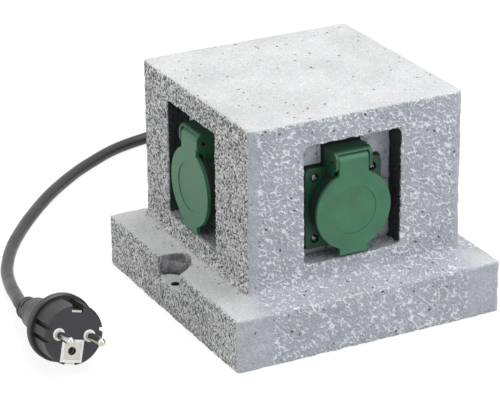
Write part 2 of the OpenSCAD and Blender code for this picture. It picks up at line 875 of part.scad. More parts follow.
// Centre line of the coil after t turns: in along the upper layer, out along the lower one
function eased(x) = (1 - cos(180 * min(1, max(0, x)))) / 2;
function coil_point(t) =
    let (
        half = coil_turns / 2,
        r = coil_inner_r + coil_pitch * abs(t - half),
        a = coil_start - 360 * t,
        z = coil_low_z + coil_step * (1 - eased((t - half) * 2 + 0.5))
    )
    [coil_centre[0] + r * cos(a), coil_centre[1] + r * sin(a), z];
COIL_TURNS = [for (i = [0 : coil_turns * coil_rings]) coil_point(i / coil_rings)];
COIL = concat(
    [COIL_TURNS[0] - [cord_d, 0, 0]],
    COIL_TURNS,
    [COIL_TURNS[len(COIL_TURNS) - 1] - [cord_d, 0, 0]]
);
coil_gap = min([
    for (i = [0 : len(COIL_TURNS) - 1], j = [i + coil_rings / 2 : len(COIL_TURNS) - 1])
        norm(COIL_TURNS[i] - COIL_TURNS[j])
]) - cord_d;
echo(coil_gap = coil_gap, cord_length = run(TO_COIL) + run(COIL) + run(TO_PLUG));

module cord_coil() {
    color("#4a4c4b") tube(COIL, cord_d / 2, coil_sides);
}

module coil_tie() {
    near = coil_inner_r + coil_pitch / 2 - cord_d / 2 - tie_gap;
    far = coil_outer_r - coil_pitch / 4 + cord_d / 2 + tie_gap;
    w = far - near;
    h = coil_step + cord_d + 2 * tie_gap;
    color("#5a5d5a")
    translate([coil_centre[0] + (near + far) / 2, coil_centre[1], coil_low_z + coil_step / 2])
        rotate([90, 0, 0]) linear_extrude(tie_w, center = true)
            difference() {
                rounded_rect(w + 2 * tie_t, h + 2 * tie_t, tie_round + tie_t);
                rounded_rect(w, h, tie_round);
            }
}

// Plug, in its own frame: Z from the boot's tip to the pins, Y towards its upper earth contact
module on_plug() {
    translate(plug_at) rotate([90 - plug_tilt, 0, plug_turn]) rotate([0, 0, -plug_roll]) children();
}

module box_on(w, h, z0, z1) {
    translate([-w / 2, -h / 2, z0]) cube([w, h, z1 - z0]);
}

module plug_solid() {
    face_r = plug_face_d / 2;
    rim_r = plug_rim_d / 2;
    rotate_extrude() polygon(concat(
        PLUG_TAPER,
        [
            [rim_r - rim_edge, rim_back], [rim_r, rim_back + rim_edge],
            [rim_r, rim_front - rim_edge], [rim_r - rim_edge, rim_front],
            [face_r, rim_front], [face_r, plug_len - rim_edge],
            [face_r - rim_edge, plug_len], [0, plug_len]
        ]
    ));
}

// Slots that let the plug's tail bend: two rows of four
module tail_slots() {
    for (row = [0, 1], k = [0 : 3])
        rotate([0, 0, 90 * k + 45 * row])
            translate([tail_slot_floor, -tail_slot_w / 2, tail_slot_z + tail_slot_pitch * row])
                cube([tail_slot_w, tail_slot_w, tail_slot_t]);
}

// Flats and guide grooves beside the pins, each with a rib along its middle
module guide_grooves() {
    difference() {
        for (sx = [-1, 1]) {
            translate([sx * (guide_flat + groove_depth), 0, 0])
                box_on(2 * groove_depth, plug_face_d, rim_front, plug_len + 1);
            translate([sx * guide_flat, 0, 0])
                box_on(2 * groove_depth, groove_w, rim_front, plug_len + 1);
        }
        box_on(2 * plug_rim_d, groove_rib, rim_front - 1, plug_len + 2);
    }
}

module earth_plate(margin, z0, z1) {
    w = earth_plate_w + 2 * margin;
    translate([0, -earth_down, 0]) box_on(w, w, z0, z1);
}

// The recesses over the pins and under them that the earth strips lie in, each at the plug's own surface
module at_earth_recesses() {
    for (side = [[0, earth_recess_high], [180, earth_recess_low]])
        rotate([0, 0, side[0]]) translate([0, plug_face_d / 2, 0]) {
            $depth = side[1];
            children();
        }
}

module plug_body() {
    color("#2e2f31") on_plug()
        difference() {
            plug_solid();
            tail_slots();
            guide_grooves();
            at_earth_recesses() box_on(earth_strip_w + 1, 2 * $depth, rim_front, plug_len + 1);
            at_pins() {
                translate([0, 0, plug_len - pin_root]) cylinder(r = pin_bore_r, h = pin_root + 1);
                translate([0, 0, bridge_back]) cylinder(r = bridge_r + pin_fit, h = bridge_depth + 1);
            }
            earth_plate(earth_frame + pin_fit, bridge_back, plug_len + 1);
        }
}

module plug_bridge() {
    color("#f2f1ee") on_plug() {
        at_pins()
            difference() {
                translate([0, 0, bridge_back]) cylinder(r = bridge_r, h = bridge_depth + bridge_proud);
                cylinder(r = pin_bore_r, h = plug_len + 1);
            }
        difference() {
            earth_plate(earth_frame, bridge_back, plug_len + bridge_proud);
            earth_plate(pin_fit, bridge_back + 1, plug_len + 1);
            translate([0, -earth_down, 0]) cylinder(r = earth_hole_r, h = plug_len + 1);
        }
    }
}

module plug_pins() {
    tip_r = plug_pin_d / 2;
    color("#d8d6d0") on_plug() at_pins()
        translate([0, 0, plug_len - pin_root]) {
            cylinder(r = tip_r, h = pin_root + plug_pin_len - tip_r);
            translate([0, 0, pin_root + plug_pin_len - tip_r]) sphere(tip_r);
        }
}

module plug_earth_contacts() {
    color("#dcdad2") on_plug() {
        difference() {
            earth_plate(0, bridge_back + 1, plug_len);
            translate([0, -earth_down, 0]) cylinder(r = earth_hole_r, h = plug_len + 1);
        }
        at_earth_recesses()
            translate([0, earth_strip_t / 2 + pin_fit - $depth, 0])
                box_on(earth_strip_w, earth_strip_t, rim_front + pin_fit, plug_len - rim_edge);
    }
}

stone_body();
bottom_plate();
bottom_seal();
bottom_screws();
inner_box();
inner_box_screws();
for (i = [0 : LAST_SIDE]) {
    on_side(i) socket_body();
    on_side(i) socket_insert();
    on_side(i) contacts();
    on_side(i) earth_clip();
    on_side(i) gasket();
    on_side(i) hinge_pin();
    on_side(i) lid_spring();
    on_side(i) lid();
    on_side(i) lid_seal();
}
flange_screws();
terminal_block();
terminal_screws();
live_wires();
neutral_wires();
earth_wires();
supply_cord();
cord_clamp();
cord_clamp_screws();
cord_boot();
cord_to_coil();
cord_coil();
coil_tie();
cord_to_plug();
plug_body();
plug_bridge();
plug_pins();
plug_earth_contacts();
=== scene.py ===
# %% [markdown]
# # A garden socket in cast stone
#
# The real object is a heavy cast stone block on a square base. Each of its four faces has a window with a
# lidded earthed socket behind it, and a rubber cord with a plug leaves the base at the back. The exact pieces
# come from the CAD frame. This lesson gives them their finish, carves the stone's streaked skin and lays
# the cord. It is written in cells: each explanation comes first, and the code that follows does what it says.

# %% Load the frame
import math

import bmesh
import bpy
from mathutils import Matrix, Vector


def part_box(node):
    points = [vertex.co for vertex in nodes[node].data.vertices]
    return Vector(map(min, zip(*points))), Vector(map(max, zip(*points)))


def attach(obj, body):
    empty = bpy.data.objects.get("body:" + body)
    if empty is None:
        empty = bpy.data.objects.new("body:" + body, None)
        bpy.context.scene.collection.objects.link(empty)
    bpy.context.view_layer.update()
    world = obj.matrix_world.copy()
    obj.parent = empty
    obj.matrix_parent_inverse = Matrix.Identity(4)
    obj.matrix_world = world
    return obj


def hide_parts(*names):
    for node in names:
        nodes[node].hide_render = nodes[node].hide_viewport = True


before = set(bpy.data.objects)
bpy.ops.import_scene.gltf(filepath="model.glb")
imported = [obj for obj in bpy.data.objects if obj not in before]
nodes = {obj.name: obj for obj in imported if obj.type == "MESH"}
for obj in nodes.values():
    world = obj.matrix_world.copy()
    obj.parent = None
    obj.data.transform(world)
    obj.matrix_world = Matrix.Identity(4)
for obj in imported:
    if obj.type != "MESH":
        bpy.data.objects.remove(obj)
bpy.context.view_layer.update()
SIDES = ("front", "right", "back", "left")
MM = 0.001

# %% [markdown]
# ## The camera
#
# A product photographer stands back and uses a long lens, so that upright edges stay nearly upright. The
# camera's place and aim were worked out from corners whose real sizes are known: the base, the block and the
# sockets. A long lens from 1.5 metres away was chosen over moving close, because it alone gives the same
# mild perspective.

# %% Camera
CAMERA_AT = Vector((-0.63512, -1.17874, 0.62290))
CAMERA_AIM = Vector((-0.02884, 0.00995, 0.05994))
CAMERA_LENS = 172.92
CAMERA_ROLL = math.radians(-0.664)


def make_camera():
    data = bpy.data.cameras.new("camera")
    data.lens = CAMERA_LENS
    camera = bpy.data.objects.new("camera", data)
    bpy.context.collection.objects.link(camera)
    turn = (CAMERA_AIM - CAMERA_AT).to_track_quat("-Z", "Y").to_matrix().to_4x4()
    camera.matrix_world = Matrix.Translation(CAMERA_AT) @ turn @ Matrix.Rotation(CAMERA_ROLL, 4, "Z")
    bpy.context.scene.camera = camera
    return camera


camera = make_camera()
print("Camera distance:", round((CAMERA_AIM - CAMERA_AT).length, 3), "m, lens:", camera.data.lens, "mm")

# %% [markdown]
# ## The cord
#
# The cord is a rubber lead of 8 mm, one and a half metres long. It leaves the base through a tapered boot,
# lies in a neat coil behind the block and runs round on the ground to the plug. One curve with a round bevel
# is the natural way to make it: the curve is the cord's centre line, and its length is the cord's length.
# The points are the same ones that the solid cord follows, and the coil's come from one formula.

# %% Cord route
CORD_D = 8 * MM
TO_COIL = [
    (0, 88.5, 13), (0, 105, 13), (0, 123, 12.8), (2.6, 136, 11.8), (10, 147, 9.8),
    (21, 154.5, 7.6), (34, 157.4, 6), (46, 157.8, 5.3), (54, 157.8, 5.2),
]
TO_PLUG = [
    (54, 264, 13.8), (45, 264, 11.6), (35, 263.6, 7.8), (20, 262.8, 4.8),
    (3, 259.4, 4.1), (-14.4, 252.2, 4.1), (-31, 242, 4.1), (-47, 231, 4.1), (-62, 218.6, 4.1),
    (-76.6, 205.4, 4.1), (-90.4, 191.2, 4.1), (-103.4, 176.4, 4.1), (-116, 161, 4.1), (-127.6, 145.4, 4.1),
    (-138.4, 129, 4.1), (-147, 113, 4.1), (-153.7, 98, 4.1), (-158.3, 83, 4.9), (-161.8, 70, 6.5),
    (-164.3, 59, 8.1), (-166.6, 48, 9.6), (-169.1, 36, 11), (-169, 28, 12.3),
]
COIL_CENTRE = (70, 210.9)
COIL_TURNS = 3.5
COIL_OUTER_R = 53.1
COIL_PITCH = 8.5
COIL_LOW_Z = 5.2
COIL_STEP = 8.6
RINGS_PER_TURN = 24


def coil_point(t):
    """The coil's centre line after t turns from the plug's side, in millimetres."""
    half = COIL_TURNS / 2
    r = COIL_OUTER_R - COIL_PITCH * (half - abs(t - half))
    a = math.radians(90 - 360 * t)
    x = min(1, max(0, (t - half) * 2 + 0.5))
    z = COIL_LOW_Z + COIL_STEP * (1 + math.cos(math.pi * x)) / 2
    return COIL_CENTRE[0] + r * math.cos(a), COIL_CENTRE[1] + r * math.sin(a), z


coil = [coil_point(i / RINGS_PER_TURN) for i in range(int(COIL_TURNS * RINGS_PER_TURN) + 1)]
route = [tuple(v * MM for v in p) for p in TO_COIL + coil[::-1] + TO_PLUG]
route_length = sum(math.dist(a, b) for a, b in zip(route, route[1:]))
print("Cord points:", len(route), "| length:", round(route_length, 4), "m")

# %% [markdown]
# A spline with automatic handles passes through every point with a smooth bend, where a plain polyline would
# show corners. The bevel makes it round, and the caps close its ends inside the boot and the plug. A curve's
# bounding box counts each point's radius, so the points carry the cord's radius and the bevel's depth is 1.

# %% Cord curve
def make_cord():
    data = bpy.data.curves.new("cord", "CURVE")
    data.dimensions = "3D"
    data.bevel_depth = 1.0
    data.bevel_resolution = 6
    data.resolution_u = 4
    data.use_fill_caps = True
    spline = data.splines.new("BEZIER")
    spline.bezier_points.add(len(route) - 1)
    for point, co in zip(spline.bezier_points, route):
        point.co = co
        point.radius = CORD_D / 2
        point.handle_left_type = "AUTO"
        point.handle_right_type = "AUTO"
    cord = bpy.data.objects.new("cord", data)
    bpy.context.collection.objects.link(cord)
    return cord


cord = make_cord()
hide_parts("cord_to_coil", "cord_coil", "cord_to_plug")
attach(cord, "block")

# %% [markdown]
# ## Helpers for colours and nodes
#
# A colour is written as the sRGB hex value that a painter would pick, and one function turns it into the
# linear light that the renderer adds up. One small function adds a node with its settings and links. It
# serves shader trees and geometry trees alike, because both have the same texture and math nodes. Inputs may
# be given by number: a Map Range node takes a value, the range that it comes from and the range that it goes
# to, and a Mix node of colours takes the share at 0 and its two colours at 6 and 7.

# %% Colour and node helpers
SMOOTH = {"interpolation_type": "SMOOTHSTEP"}
MIX = {"data_type": "RGBA"}


def linear(hex_code):
    """An sRGB hex colour as the linear colour that a shader socket takes."""
    channels = [int(hex_code[i:i + 2], 16) / 255 for i in (1, 3, 5)]
    return (*[c / 12.92 if c <= 0.04045 else ((c + 0.055) / 1.055) ** 2.4 for c in channels], 1.0)


def add(tree, kind, feeds=None, **settings):
    """Adds a node, sets its properties and feeds its inputs with values, sockets or other nodes."""
    node = tree.nodes.new(kind)
    for name, value in settings.items():
        setattr(node, name, value)
    for key, value in (feeds or {}).items():
        if isinstance(value, bpy.types.Node):
            value = next(out for out in value.outputs if out.enabled)
        if isinstance(value, bpy.types.NodeSocket):
            tree.links.new(value, node.inputs[key])
        else:
            node.inputs[key].default_value = value
    return node


def start_material(name, base, roughness, **others):
    """A material with one Principled shader; others are more of its sockets, by name."""
    material = bpy.data.materials.new(name)
    material.use_nodes = True
    tree = material.node_tree
    shader = tree.nodes["Principled BSDF"]
    shader.inputs["Base Color"].default_value = linear(base)
    shader.inputs["Roughness"].default_value = roughness
    for key, value in others.items():
        shader.inputs[key.replace("_", " ")].default_value = value
    where = add(tree, "ShaderNodeTexCoord").outputs["Object"]
    return material, tree, shader, where


def paint(material, *objects):
    """Gives the material to every slot of these objects."""
    for obj in objects:
        if not obj.data.materials:
            obj.data.materials.append(material)
        for place in obj.material_slots:
            place.material = material
    print(f"{material.name}: {', '.join(obj.name for obj in objects)}")


print("Mid grey #808080 is linear", round(linear("#808080")[0], 3))

# %% [markdown]
# ## Marks in the cast stone
#
# The block is cast in a mould that was taken from carved stone. Its upright faces are covered in short
# streaks under a millimetre wide and two to three apart. On the front and the right they stand out, lighter
# than the ground between them, partly as chalky ridges and partly as painted highlight. The left side and
# the back carry more pits of one to two millimetres, and there the colour holds painted light: a second set
# of streaks is painted dark as shadow, and the ground and the streaks are painted lighter as highlight. The
# level faces are plain, with a fine seam here and there, and so is a band along the block's upright corners.
# The base's ledge is streaked at the front and the right, away from its corners. All of these come from
# noise: a streak is the line where a noise passes its middle value, and a pit is the spot round a cell's
# centre. The same functions make the marks in a geometry tree, which carves them, and in a shader tree,
# which colours them.

# %% Marks
STREAK_STEP = 1.9 * MM
STREAK_SLANT = math.radians(-45)
STREAK_STRETCH = (0.45, 1.0, 1.0)
BREAK_STEP = 3.0 * MM
SEAM_STEP = 18.0 * MM
PIT_STEP = 2.3 * MM
PATCH_STEP = 14.0 * MM
BEND = 2.2 * MM
BEND_STEP = 5.0 * MM
STONE_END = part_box("stone_body")[1]
BASE_FACE = STONE_END.x
BLOCK_TOP = STONE_END.z
BLOCK_FACE = 71 * MM
BLOCK_FOOT = 37 * MM
WINDOW_TOP = 125 * MM
WINDOW_SIDE = 45 * MM
LEVEL_SHARE = 0.2
CORNER_BAND = 7 * MM
CORNER_ROUGH = 0.25
CORNER_FADE = 2 * MM
# Share of the reveals' painted shade kept where a surface faces up: the sills are left lighter as painted
# light.
UP_FACING_SHADE_SHARE = 0.25
LEDGE_FADE = 10 * MM
SHADY_LEDGE = 0.1
# Dark groove shadows, painted on the left side and the back: offset from the light streaks and a little wider.
GROOVE_SHADOW_OFFSET = (0.31, 0.17, 0.23)
GROOVE_SHADOW_WIDENING = 1.1
# The left side and the back, which get more carved pits and the painted highlights and groove shadows.
PITS_AND_PAINTED_LIGHT_SIDES = (-1.0, 1.0, 0.0)
FEW_PITS = 0.05
MANY_PITS = 0.6


def noise_line(tree, where, step, width):
    """1 on the lines where a noise of that step passes its middle value, 0 beside them."""
    noise = add(tree, "ShaderNodeTexNoise", {"Vector": where, "Scale": 1 / step, "Detail": 0.0})
    off = add(tree, "ShaderNodeMath", {0: noise.outputs[0], 1: 0.5}, operation="SUBTRACT")
    away = add(tree, "ShaderNodeMath", {0: off}, operation="ABSOLUTE")
    return add(tree, "ShaderNodeMapRange", {0: away, 1: 0.0, 2: width, 3: 1.0, 4: 0.0}, **SMOOTH)


def bent_place(tree, where):
    """The place pushed about by a soft noise, so that no line in it runs straight."""
    drift = add(tree, "ShaderNodeTexNoise", {"Vector": where, "Scale": 1 / BEND_STEP, "Detail": 1.0})
    push = add(tree, "ShaderNodeVectorMath", {0: drift.outputs[1], 1: (0.5, 0.5, 0.5)}, operation="SUBTRACT")
    bend = add(tree, "ShaderNodeVectorMath", {0: push, "Scale": BEND}, operation="SCALE")
    return add(tree, "ShaderNodeVectorMath", {0: where, 1: bend}, operation="ADD")


def place_on_block(tree, where):
    """How far out a place lies, how far across its side, and how high. All four sides count alike."""
    split = add(tree, "ShaderNodeSeparateXYZ", {0: where})
    flat_x = add(tree, "ShaderNodeMath", {0: split.outputs[0]}, operation="ABSOLUTE")
    flat_y = add(tree, "ShaderNodeMath", {0: split.outputs[1]}, operation="ABSOLUTE")
    out = add(tree, "ShaderNodeMath", {0: flat_x, 1: flat_y}, operation="MAXIMUM")
    across = add(tree, "ShaderNodeMath", {0: flat_x, 1: flat_y}, operation="MINIMUM")
    return out, across, split.outputs[2]


def ledge_share(tree, where, across, z):
    """1 on the base's ledge at the front and the right, less at the other sides, 0 at its corners."""
    low = {0: z, 1: BLOCK_FOOT, 2: BLOCK_FOOT + 4 * MM, 3: 1.0, 4: 0.0}
    ledge = add(tree, "ShaderNodeMapRange", low, **SMOOTH)
    off_corner = {0: across, 1: BLOCK_FACE - CORNER_BAND, 2: BASE_FACE - CORNER_BAND, 3: 1.0, 4: 0.0}
    middle = add(tree, "ShaderNodeMapRange", off_corner, **SMOOTH)
    turned = add(tree, "ShaderNodeVectorMath", {0: where, 1: PITS_AND_PAINTED_LIGHT_SIDES}, operation="DOT_PRODUCT")
    front = {0: turned.outputs["Value"], 1: -LEDGE_FADE, 2: LEDGE_FADE, 3: 1.0, 4: SHADY_LEDGE}
    front = add(tree, "ShaderNodeMapRange", front, **SMOOTH)
    for share in (middle, front):
        ledge = add(tree, "ShaderNodeMath", {0: ledge, 1: share}, operation="MULTIPLY")
    return ledge


def reveal_share(tree, out, across, z):
    """1 in the windows, behind the block's faces."""
    behind = {0: out, 1: BLOCK_FACE - 2.2 * MM, 2: BLOCK_FACE - 1.2 * MM, 3: 1.0, 4: 0.0}
    reveal = add(tree, "ShaderNodeMapRange", behind, **SMOOTH)
    for value, limit in ((z, WINDOW_TOP), (across, WINDOW_SIDE)):
        inside = add(tree, "ShaderNodeMath", {0: value, 1: limit}, operation="LESS_THAN")
        reveal = add(tree, "ShaderNodeMath", {0: reveal, 1: inside}, operation="MULTIPLY")
    return reveal


def stone_faces(tree, where):
    """How far a place belongs to the streaked faces, the window reveals and the rough middle, from 0 to 1."""
    out, across, z = place_on_block(tree, where)
    foot = {0: z, 1: BLOCK_FOOT - 0.5 * MM, 2: BLOCK_FOOT + 2.5 * MM}
    top = {0: z, 1: BLOCK_TOP - 1.5 * MM, 2: BLOCK_TOP - 0.5 * MM, 3: 1.0, 4: 0.0}
    above = add(tree, "ShaderNodeMapRange", foot, **SMOOTH)
    below = add(tree, "ShaderNodeMapRange", top, **SMOOTH)
    block_side = add(tree, "ShaderNodeMath", {0: above, 1: below}, operation="MULTIPLY")
    rim = {0: out, 1: BASE_FACE - 2.0 * MM, 2: BASE_FACE - 0.5 * MM}
    base_side = add(tree, "ShaderNodeMapRange", rim, **SMOOTH)
    upright = add(tree, "ShaderNodeMath", {0: block_side, 1: base_side}, operation="ADD")
    ledge = ledge_share(tree, where, across, z)
    streaked = add(tree, "ShaderNodeMath", {0: upright, 1: ledge}, operation="MAXIMUM")
    sides = add(tree, "ShaderNodeMapRange", {0: streaked, 3: LEVEL_SHARE, 4: 1.0})
    reveal = reveal_share(tree, out, across, z)
    reveal = add(tree, "ShaderNodeMath", {0: reveal, 1: above}, operation="MULTIPLY")
    band_starts = BLOCK_FACE - CORNER_BAND
    corner = {0: across, 1: band_starts, 2: band_starts + CORNER_FADE, 3: 1.0, 4: CORNER_ROUGH}
    rough = add(tree, "ShaderNodeMapRange", corner, **SMOOTH)
    return sides, reveal, rough


# This share gives the left side and the back more carved pits and their painted light and shade.
def pits_and_painted_light_share(tree, normal):
    """1 where the surface looks to the left or the back, 0 where it looks to the front or the right."""
    turned = add(tree, "ShaderNodeVectorMath", {0: normal, 1: PITS_AND_PAINTED_LIGHT_SIDES}, operation="DOT_PRODUCT")
    return add(tree, "ShaderNodeMapRange", {0: turned.outputs["Value"], 1: 0.2, 2: 0.8}, **SMOOTH)


def stone_pits(tree, place, where, pits_and_painted_light):
    """Air pits: cells keep their spot by chance, few in general and many in patches of the left side and the
    back.
    """
    cells = add(tree, "ShaderNodeTexVoronoi", {"Vector": place, "Scale": 1 / PIT_STEP})
    spot_edge = {0: cells.outputs["Distance"], 1: 0.16, 2: 0.42, 3: 1.0, 4: 0.0}
    spot = add(tree, "ShaderNodeMapRange", spot_edge, **SMOOTH)
    chance = add(tree, "ShaderNodeSeparateXYZ", {0: cells.outputs["Color"]})
    patches = add(tree, "ShaderNodeTexNoise", {"Vector": where, "Scale": 1 / PATCH_STEP, "Detail": 2.0})
    patch = add(tree, "ShaderNodeMapRange", {0: patches, 1: 0.35, 2: 0.6, 3: 0.4, 4: 1.0}, **SMOOTH)
    many = add(tree, "ShaderNodeMath", {0: pits_and_painted_light, 1: patch}, operation="MULTIPLY")
    share = add(tree, "ShaderNodeMapRange", {0: many, 3: FEW_PITS, 4: MANY_PITS})
    kept = add(tree, "ShaderNodeMath", {0: chance, 1: share}, operation="LESS_THAN")
    return add(tree, "ShaderNodeMath", {0: spot, 1: kept}, operation="MULTIPLY")


def stone_streaks(tree, place, width):
    """Short slanting streaks: lines of a stretched noise, broken where a second noise is low."""
    turn = {"Vector": place, "Angle": STREAK_SLANT}
    turned = add(tree, "ShaderNodeVectorRotate", turn, rotation_type="Y_AXIS")
    slanted = add(tree, "ShaderNodeVectorMath", {0: turned, 1: STREAK_STRETCH}, operation="MULTIPLY")
    lines = noise_line(tree, slanted, STREAK_STEP, width)
    gaps = add(tree, "ShaderNodeTexNoise", {"Vector": place, "Scale": 1 / BREAK_STEP, "Detail": 1.0})
    kept = add(tree, "ShaderNodeMapRange", {0: gaps.outputs[0], 1: 0.25, 2: 0.45}, **SMOOTH)
    return add(tree, "ShaderNodeMath", {0: lines, 1: kept}, operation="MULTIPLY")


def stone_marks(tree, where, normal, width):
    """Sides, streaks, groove shadows, pits, seams and the reveals' charcoal with painted shade at a place,
    each from 0 to 1.
    """
    place = bent_place(tree, where)
    sides, reveal, rough = stone_faces(tree, where)
    pits_and_painted_light = pits_and_painted_light_share(tree, normal)
    streaks = stone_streaks(tree, place, width)
    light = add(tree, "ShaderNodeMath", {0: sides, 1: rough}, operation="MULTIPLY")
    # Reveal surfaces that face up keep only part of the dark: a painted light on the sills.
    tilt = add(tree, "ShaderNodeSeparateXYZ", {0: normal})
    level = {0: tilt.outputs[2], 1: 0.5, 2: 0.8, 3: 1.0, 4: UP_FACING_SHADE_SHARE}
    reveal_shade_kept = add(tree, "ShaderNodeMapRange", level, **SMOOTH)
    # A second set of streaks, painted dark as shadow on the left side and the back, and sunk by the bump.
    elsewhere = add(tree, "ShaderNodeVectorMath", {0: place, 1: GROOVE_SHADOW_OFFSET}, operation="ADD")
    offset_streaks = stone_streaks(tree, elsewhere, GROOVE_SHADOW_WIDENING * width)
    groove_shadows = add(tree, "ShaderNodeMath", {0: offset_streaks, 1: pits_and_painted_light}, operation="MULTIPLY")
    return {
        "sides": sides,
        "pits_and_painted_light": pits_and_painted_light,
        "streaks": add(tree, "ShaderNodeMath", {0: streaks, 1: light}, operation="MULTIPLY"),
        "groove_shadows": add(tree, "ShaderNodeMath", {0: groove_shadows, 1: sides}, operation="MULTIPLY"),
        "seams": noise_line(tree, place, SEAM_STEP, width / 8),
        "pits": stone_pits(tree, place, where, pits_and_painted_light),
        "reveal": add(tree, "ShaderNodeMath", {0: reveal, 1: reveal_shade_kept}, operation="MULTIPLY"),
    }


print("Streaks every", STREAK_STEP / MM, "mm; pits every", PIT_STEP / MM, "mm")

# %% [markdown]
# ## The rounded foot
#
# The block doesn't stand on its base with a sharp inner corner: the mould has a hollow curve there, because
# concrete would leave voids in a sharp one. A ring with that curve as its outline goes round the block's
# foot. It overlaps the block and the base, and the remesh in the next cell melts the three into one skin. The
# notches for the fixing screws cut into the curve, so a Boolean takes their round shape out of the ring.

# %% Foot curve
NOTCH_R = 14.3 * MM
NOTCH_AT = (BASE_FACE, 2.5 * MM)
FOOT_CURVE = 7 * MM
FOOT_OVERLAP = 3 * MM
BLOCK_CORNER = 5 * MM
SLOPE_DROP = 2.2 * MM
CURVE_STEPS = 8
CORNER_STEPS = 6


def foot_outline():
    """The ring's outline as pairs of distance outwards from the block's face and height over its foot."""
    outline = [(-FOOT_OVERLAP, -FOOT_OVERLAP), (-FOOT_OVERLAP, FOOT_CURVE)]
    for i in range(CURVE_STEPS + 1):
        t = i / CURVE_STEPS
        outline.append((FOOT_CURVE * t * t, FOOT_CURVE * (1 - t) ** 2 - SLOPE_DROP * t * t))
    return outline + [(FOOT_CURVE, -FOOT_OVERLAP)]


def foot_ring():
    outline = foot_outline()
    inner = BLOCK_FACE - BLOCK_CORNER
    verts = []
    for corner in range(4):
        for step in range(CORNER_STEPS + 1):
            turn = math.radians(90 * (corner + step / CORNER_STEPS))
            middle = Matrix.Rotation(math.radians(90 * corner), 2) @ Vector((inner, inner))
            outwards = Vector((math.cos(turn), math.sin(turn)))
            for away, up in outline:
                place = middle + outwards * (BLOCK_CORNER + away)
                verts.append((place.x, place.y, BLOCK_FOOT + up))
    n = len(outline)
    rings = len(verts) // n
    faces = [
        (i * n + j, (i + 1) % rings * n + j, (i + 1) % rings * n + (j + 1) % n, i * n + (j + 1) % n)
        for i in range(rings) for j in range(n)
    ]
    return verts, faces


def notch_cylinders():
    """Both notches as closed cylinders in one mesh."""
    both = bmesh.new()
    for side in (-1, 1):
        place = Matrix.Translation((side * NOTCH_AT[0], NOTCH_AT[1], BLOCK_FOOT))
        bmesh.ops.create_cone(both, cap_ends=True, segments=64, radius1=NOTCH_R, radius2=NOTCH_R,
                              depth=4 * FOOT_CURVE, matrix=place)
    mesh = bpy.data.meshes.new("notches")
    both.to_mesh(mesh)
    both.free()
    return mesh


def foot_mesh():
    """The ring without the notches' shape."""
    mesh = bpy.data.meshes.new("foot ring")
    verts, faces = foot_ring()
    mesh.from_pydata(verts, [], faces)
    ring = bpy.data.objects.new("foot ring", mesh)
    cutter = bpy.data.objects.new("notches", notch_cylinders())
    for helper in (ring, cutter):
        bpy.context.collection.objects.link(helper)
    cut = ring.modifiers.new("notches", "BOOLEAN")
    cut.object = cutter
    cut.operation = "DIFFERENCE"
    shown = ring.evaluated_get(bpy.context.evaluated_depsgraph_get())
    result = bpy.data.meshes.new_from_object(shown)
    for helper in (ring, cutter):
        bpy.data.objects.remove(helper)
    return result


foot = foot_mesh()
print("Foot ring:", len(foot.polygons), "faces")

# %% [markdown]
# ## Carving the stone
#
# The CAD stone has large smooth faces, which have no points to move. A voxel remesh covers them with an even
# net, fine enough for the marks, and a smoothing modifier rounds the edges. Sculpting by hand would look as
# good, but a geometry tree carves the same marks every time. The marks go inwards, so that the stone keeps
# its measured size.

# %% Carve the stone
VOXEL = 0.65 * MM
GROUND_DEPTH = 0.3 * MM
PIT_DEPTH = 0.6 * MM
SEAM_DEPTH = 0.3 * MM
SAG_DEPTH = 0.3 * MM
SAG_STEP = 22 * MM
CHIP_DEPTH = 0.5 * MM
CHIP_STEP = 6 * MM
CARVED_WIDTH = 0.14
SOFT_EDGES = 20


def carving_tree():
    tree = bpy.data.node_groups.new("stone carving", "GeometryNodeTree")
    tree.interface.new_socket(name="Geometry", in_out="INPUT", socket_type="NodeSocketGeometry")
    tree.interface.new_socket(name="Geometry", in_out="OUTPUT", socket_type="NodeSocketGeometry")
    where = add(tree, "GeometryNodeInputPosition").outputs[0]
    normal = add(tree, "GeometryNodeInputNormal").outputs[0]
    marks = stone_marks(tree, where, normal, CARVED_WIDTH)
    ground = add(tree, "ShaderNodeMath", {0: marks["sides"], 1: marks["streaks"]}, operation="SUBTRACT")
    sag = add(tree, "ShaderNodeTexNoise", {"Vector": where, "Scale": 1 / SAG_STEP, "Detail": 2.0})
    chips = add(tree, "ShaderNodeTexNoise", {"Vector": where, "Scale": 1 / CHIP_STEP, "Detail": 2.0})
    chip = add(tree, "ShaderNodeMapRange", {0: chips.outputs[0], 1: 0.45, 2: 0.7}, **SMOOTH)
    chip = add(tree, "ShaderNodeMath", {0: chip, 1: marks["sides"]}, operation="MULTIPLY")
    depth = add(tree, "ShaderNodeMath", {0: sag.outputs[0], 1: -SAG_DEPTH}, operation="MULTIPLY")
    cuts = (
        (ground, GROUND_DEPTH), (marks["pits"], PIT_DEPTH), (marks["seams"], SEAM_DEPTH), (chip, CHIP_DEPTH)
    )
    for mark, most in cuts:
        depth = add(tree, "ShaderNodeMath", {0: mark, 1: -most, 2: depth}, operation="MULTIPLY_ADD")
    offset = add(tree, "ShaderNodeVectorMath", {0: normal, "Scale": depth}, operation="SCALE")
    source = add(tree, "NodeGroupInput")
    moved = add(tree, "GeometryNodeSetPosition", {"Geometry": source, "Offset": offset})
    add(tree, "NodeGroupOutput", {0: moved})
    return tree


def stone_with_foot():
    """A mesh with the CAD stone and the foot ring, in the stone's own place."""
    both = bmesh.new()
    both.from_mesh(nodes["stone_body"].data)
    both.from_mesh(foot)
    mesh = bpy.data.meshes.new("stone")
    both.to_mesh(mesh)
    both.free()
    return mesh


